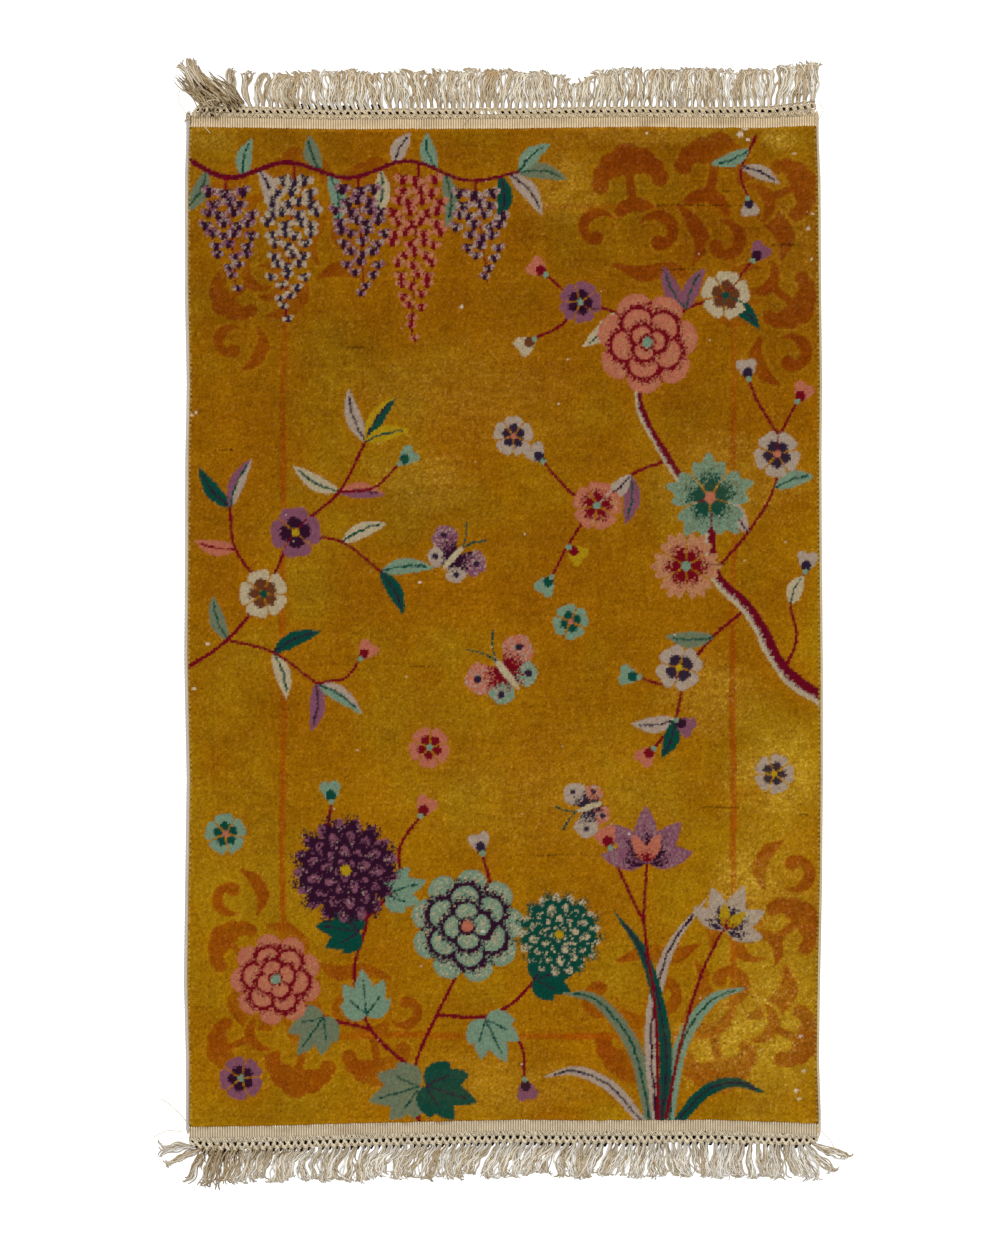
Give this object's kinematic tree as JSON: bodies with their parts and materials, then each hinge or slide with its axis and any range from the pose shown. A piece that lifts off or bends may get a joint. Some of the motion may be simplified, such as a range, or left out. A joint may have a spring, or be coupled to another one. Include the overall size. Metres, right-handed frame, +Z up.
{
  "type": "hand-knotted wool rug with knotted cotton fringes",
  "caption": "Flat oblong rug: thick wool pile, flat-woven cotton ends with knotted open nets and long fringes, and overcast side cords.",
  "frame": {"origin": "middle of the pile field's underside, on the floor", "axes": "+Y along the rug towards its upper end, +X to the right seen from above, +Z up through the pile"},
  "size_m": [1.0116, 1.6167, 0.009],
  "materials": {
    "wool_pile": "cut wool pile in flat even tufts: old-gold ground with rust, crimson, plum, sea-green, teal, pink and cream motifs, matt with a faint sheen, abrash and wear",
    "cotton_yarn": "undyed beige cotton warp yarn, matt, flat-woven, then knotted in an open net and left as loose kinked fringe",
    "overcast_cord": "pale lilac-grey yarn overcast round the edge warps, matt, with small diagonal stitches"
  },
  "bodies": {
    "root": {"pile_field": "wool_pile", "cotton_end_top": "cotton_yarn", "cotton_end_bottom": "cotton_yarn", "side_cord_left": "overcast_cord", "side_cord_right": "overcast_cord"}
  },
  "joints": []
}
